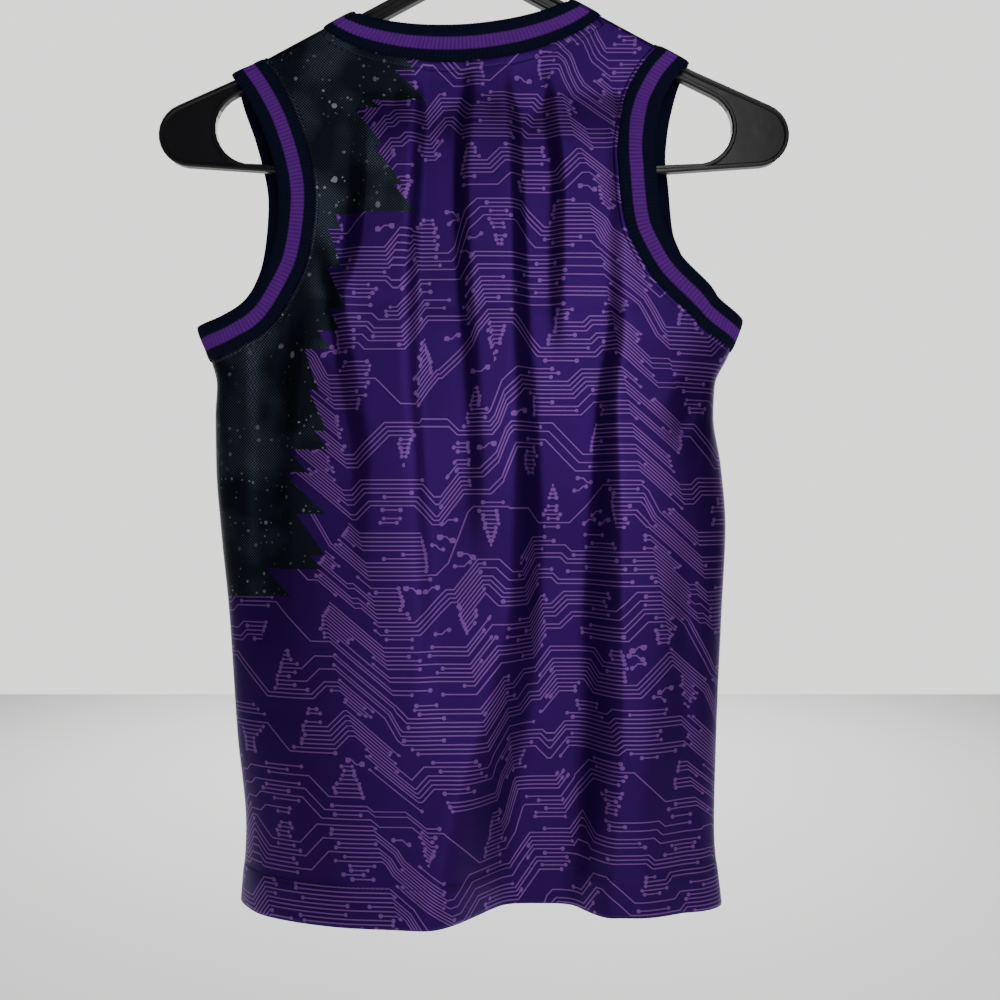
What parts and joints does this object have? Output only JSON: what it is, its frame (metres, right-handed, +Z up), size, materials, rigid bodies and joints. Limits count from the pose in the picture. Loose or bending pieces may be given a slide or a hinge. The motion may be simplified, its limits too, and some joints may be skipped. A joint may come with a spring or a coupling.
{
  "type": "basketball jersey on a hanger",
  "caption": "Sleeveless basketball jersey with striped rib bands round neck and armholes, hung on a moulded plastic hanger with a hook.",
  "frame": {"origin": "the lowest point of the hook's inner side at its crown, where it rests on a rail", "axes": "+Z up, +Y towards the wearer's front, +X towards the wearer's right; the garment's back faces -Y"},
  "size_m": [0.4278, 0.0716, 0.7022],
  "materials": {
    "jersey_cloth": "satin",
    "rib_knit": "matt",
    "hanger_plastic": "glossy"
  },
  "bodies": {
    "root": {"back_panel": "jersey_cloth", "front_panel": "jersey_cloth", "neck_rib": "rib_knit", "armhole_rib_left": "rib_knit", "armhole_rib_right": "rib_knit", "hanger_frame": "hanger_plastic", "hanger_hook": "hanger_plastic"}
  },
  "joints": []
}
